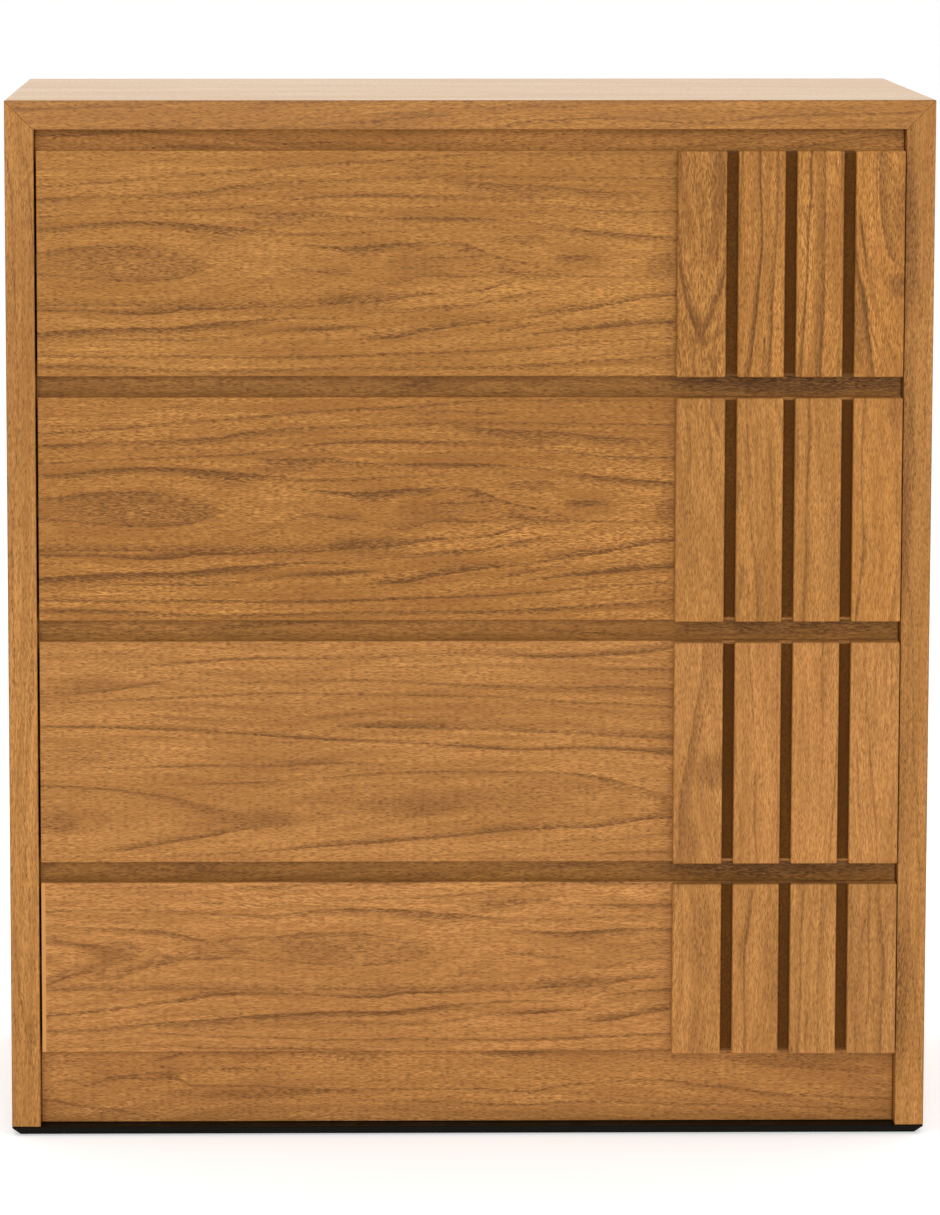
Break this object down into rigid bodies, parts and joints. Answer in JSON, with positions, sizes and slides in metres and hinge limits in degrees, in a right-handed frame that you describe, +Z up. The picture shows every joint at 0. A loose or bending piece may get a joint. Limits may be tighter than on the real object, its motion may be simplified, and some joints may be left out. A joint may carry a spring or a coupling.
{
  "type": "chest of drawers",
  "caption": "Wooden chest of drawers with a mitred frame, set-back rails, and flat sliding fronts with upright slats at one end.",
  "frame": {"origin": "on the floor, at the middle of the chest's footprint, slats included", "axes": "+X to the viewer's right when facing the drawers, +Y to the back, +Z up; drawers open towards -Y"},
  "size_m": [0.8, 0.412, 0.908],
  "materials": {
    "veneer": "satin open-pore veneer",
    "rail_veneer": "satin open-pore veneer",
    "slat_veneer": "satin open-pore veneer",
    "dark_sheet": "dark brown stain",
    "black_lacquer": "black satin lacquer",
    "box_wood": "clear satin lacquer",
    "thin_board": "smooth foil on thin board",
    "runner_wood": "bare waxed hardwood"
  },
  "bodies": {
    "carcass": {"top_panel": "veneer", "left_side_panel": "veneer", "right_side_panel": "veneer", "back_panel": "thin_board", "bottom_panel": "box_wood", "plinth_rail": "rail_veneer", "top_rail": "rail_veneer", "divider_rail_1": "rail_veneer", "divider_rail_2": "rail_veneer", "divider_rail_3": "rail_veneer", "base_board": "black_lacquer", "runner_1_left": "runner_wood", "runner_1_right": "runner_wood", "runner_2_left": "runner_wood", "runner_2_right": "runner_wood", "runner_3_left": "runner_wood", "runner_3_right": "runner_wood", "runner_4_left": "runner_wood", "runner_4_right": "runner_wood"},
    "drawer_1": {"drawer_1_front": "veneer", "drawer_1_slat_backing": "dark_sheet", "drawer_1_slat_1": "slat_veneer", "drawer_1_slat_2": "slat_veneer", "drawer_1_slat_3": "slat_veneer", "drawer_1_slat_4": "slat_veneer", "drawer_1_left_side": "box_wood", "drawer_1_right_side": "box_wood", "drawer_1_back": "box_wood", "drawer_1_bottom": "thin_board"},
    "drawer_2": {"drawer_2_front": "veneer", "drawer_2_slat_backing": "dark_sheet", "drawer_2_slat_1": "slat_veneer", "drawer_2_slat_2": "slat_veneer", "drawer_2_slat_3": "slat_veneer", "drawer_2_slat_4": "slat_veneer", "drawer_2_left_side": "box_wood", "drawer_2_right_side": "box_wood", "drawer_2_back": "box_wood", "drawer_2_bottom": "thin_board"},
    "drawer_3": {"drawer_3_front": "veneer", "drawer_3_slat_backing": "dark_sheet", "drawer_3_slat_1": "slat_veneer", "drawer_3_slat_2": "slat_veneer", "drawer_3_slat_3": "slat_veneer", "drawer_3_slat_4": "slat_veneer", "drawer_3_left_side": "box_wood", "drawer_3_right_side": "box_wood", "drawer_3_back": "box_wood", "drawer_3_bottom": "thin_board"},
    "drawer_4": {"drawer_4_front": "veneer", "drawer_4_slat_backing": "dark_sheet", "drawer_4_slat_1": "slat_veneer", "drawer_4_slat_2": "slat_veneer", "drawer_4_slat_3": "slat_veneer", "drawer_4_slat_4": "slat_veneer", "drawer_4_left_side": "box_wood", "drawer_4_right_side": "box_wood", "drawer_4_back": "box_wood", "drawer_4_bottom": "thin_board"}
  },
  "joints": [
    {"name": "drawer_1_slide", "type": "slide", "parent": "carcass", "child": "drawer_1", "axis": [0, -1, 0], "range_m": [0, 0.26]},
    {"name": "drawer_2_slide", "type": "slide", "parent": "carcass", "child": "drawer_2", "axis": [0, -1, 0], "range_m": [0, 0.26]},
    {"name": "drawer_3_slide", "type": "slide", "parent": "carcass", "child": "drawer_3", "axis": [0, -1, 0], "range_m": [0, 0.26]},
    {"name": "drawer_4_slide", "type": "slide", "parent": "carcass", "child": "drawer_4", "axis": [0, -1, 0], "range_m": [0, 0.26]}
  ]
}
